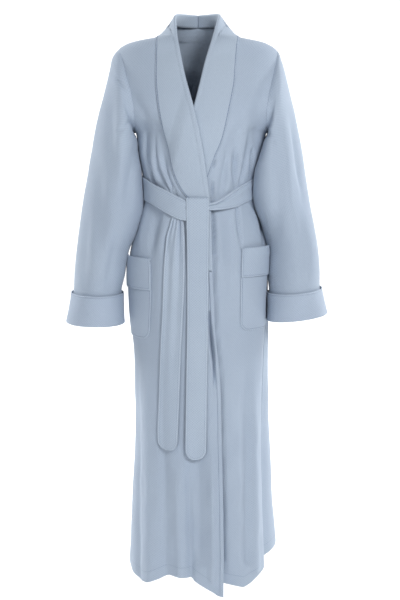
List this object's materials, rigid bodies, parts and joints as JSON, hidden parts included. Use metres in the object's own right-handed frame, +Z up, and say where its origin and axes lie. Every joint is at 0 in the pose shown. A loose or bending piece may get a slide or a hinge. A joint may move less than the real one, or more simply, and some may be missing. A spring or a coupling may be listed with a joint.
{
  "type": "wrap bathrobe",
  "caption": "Ankle-length wrap robe in its worn form, with a shawl collar, turned-back cuffs, patch pockets and a tied belt.",
  "frame": {"origin": "on the centre line at the height of the shoulder seams' neck ends, where the shoulders hold the robe", "axes": "+Z up, +X towards the wearer's left, -Y towards the front"},
  "size_m": [0.6168, 0.3053, 1.3427],
  "materials": {
    "cloth": "matte knit",
    "collar": "matte knit",
    "cuff": "matte knit",
    "pocket_band": "matte knit",
    "belt": "matte knit"
  },
  "bodies": {
    "root": {"back": "cloth", "belt_tail_front": "belt", "belt_tail_under": "belt", "belt_waist": "belt", "collar_left": "collar", "collar_right": "collar", "cuff_left": "cuff", "cuff_right": "cuff", "front_left": "cloth", "front_right": "cloth", "pocket_band_left": "pocket_band", "pocket_band_right": "pocket_band", "pocket_left": "cloth", "pocket_right": "cloth", "sleeve_left": "cloth", "sleeve_right": "cloth"}
  },
  "joints": []
}
